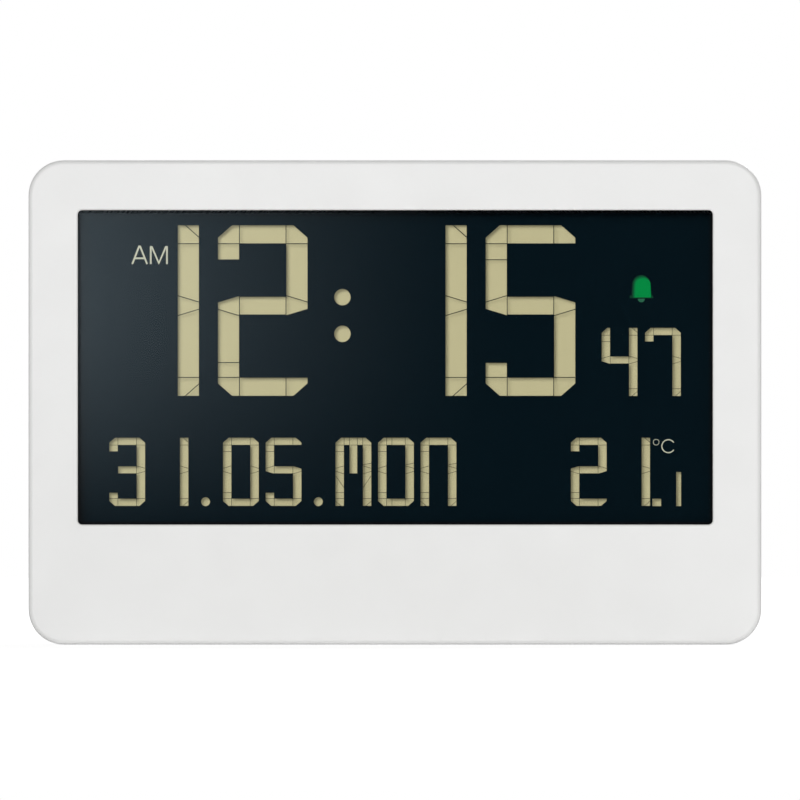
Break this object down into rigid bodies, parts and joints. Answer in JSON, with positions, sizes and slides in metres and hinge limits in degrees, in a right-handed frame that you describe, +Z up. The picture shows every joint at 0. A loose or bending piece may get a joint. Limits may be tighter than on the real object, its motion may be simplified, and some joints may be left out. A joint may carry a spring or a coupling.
{
  "type": "dementia day clock",
  "caption": "Desk and wall day clock: white case, wide clear window over a large segment display of time, date, weekday and temperature, with a fold-out stand and battery door.",
  "frame": {"origin": "middle of the bounding box's bottom face, on the surface that the clock stands on", "axes": "+X to the right seen from the front, +Y from the display to the back, +Z up"},
  "size_m": [0.23, 0.03, 0.152],
  "materials": {
    "white_abs": "fine satin texture",
    "black_tape": "matt",
    "clear_lens": "clear, polished",
    "black_foam": "matt foam",
    "lcd_glass": "clear",
    "mask_ink": "dark blue-black",
    "green_film": "translucent film",
    "cream_film": "diffuse cream",
    "black_abs": "satin",
    "zebra_rubber": "matt",
    "board": "solder resist",
    "epoxy": "glossy epoxy",
    "steel": "zinc plated",
    "ceramic_tan": "ceramic",
    "can_sleeve": "sleeve",
    "brass": "plain",
    "ceramic_white": "fired ceramic",
    "lead_black": "insulation",
    "lead_red": "insulation",
    "switch_black": "moulded",
    "ribbon_grey": "flat cable",
    "cell_sleeve": "printed sleeve, no name",
    "spring_steel": "nickel plated",
    "rubber_pad": "matt",
    "button_grey": "satin"
  },
  "bodies": {
    "case": {"front_housing": "white_abs", "lens_tape": "black_tape", "display_lens": "clear_lens", "lcd_gasket": "black_foam", "lcd_front_glass": "lcd_glass", "lcd_segment_mask": "mask_ink", "lcd_rear_glass": "lcd_glass", "bell_filter": "green_film", "lcd_reflector": "cream_film", "lcd_frame": "black_abs", "zebra_strips": "zebra_rubber", "main_pcb": "board", "controller_chip": "epoxy", "quartz_crystal": "steel", "chip_capacitors": "ceramic_tan", "bulk_capacitor": "can_sleeve", "thermistor": "epoxy", "rear_cover": "white_abs", "case_screws": "steel", "buzzer_disc": "brass", "buzzer_ceramic": "ceramic_white", "buzzer_leads": "lead_black", "button_pcb": "board", "tact_switches": "switch_black", "slide_switch": "switch_black", "ribbon_cable": "ribbon_grey", "battery_upper": "cell_sleeve", "battery_lower": "cell_sleeve", "link_contact": "spring_steel", "positive_contact": "spring_steel", "negative_contact": "spring_steel", "red_lead": "lead_red", "black_lead": "lead_black"},
    "stand": {"stand": "white_abs", "stand_foot_pads": "rubber_pad"},
    "battery_door": {"battery_door": "white_abs"},
    "alarm_slider": {"alarm_slider": "button_grey"},
    "set_button": {"set_button": "button_grey", "set_switch_stem": "switch_black"},
    "plus_button": {"plus_button": "button_grey", "plus_switch_stem": "switch_black"},
    "minus_button": {"minus_button": "button_grey", "minus_switch_stem": "switch_black"},
    "snooze_button": {"snooze_button": "button_grey", "snooze_switch_stem": "switch_black"}
  },
  "joints": [
    {"name": "stand_hinge", "type": "hinge", "parent": "case", "child": "stand", "pos_m": [0, 0.0126, 0.064], "axis": [1, 0, 0], "range_deg": [0, 26]},
    {"name": "battery_door_hinge", "type": "hinge", "parent": "case", "child": "battery_door", "pos_m": [0, 0.0136, 0.0733], "axis": [-1, 0, 0], "range_deg": [0, 80]},
    {"name": "alarm_slide", "type": "slide", "parent": "case", "child": "alarm_slider", "axis": [1, 0, 0], "range_m": [0, 0.003]},
    {"name": "set_press", "type": "slide", "parent": "case", "child": "set_button", "axis": [0, -1, 0], "range_m": [0, 0.0004], "stiffness_N_per_m": 800},
    {"name": "plus_press", "type": "slide", "parent": "case", "child": "plus_button", "axis": [0, -1, 0], "range_m": [0, 0.0004], "stiffness_N_per_m": 800},
    {"name": "minus_press", "type": "slide", "parent": "case", "child": "minus_button", "axis": [0, -1, 0], "range_m": [0, 0.0004], "stiffness_N_per_m": 800},
    {"name": "snooze_press", "type": "slide", "parent": "case", "child": "snooze_button", "axis": [0, -1, 0], "range_m": [0, 0.0004], "stiffness_N_per_m": 800}
  ]
}
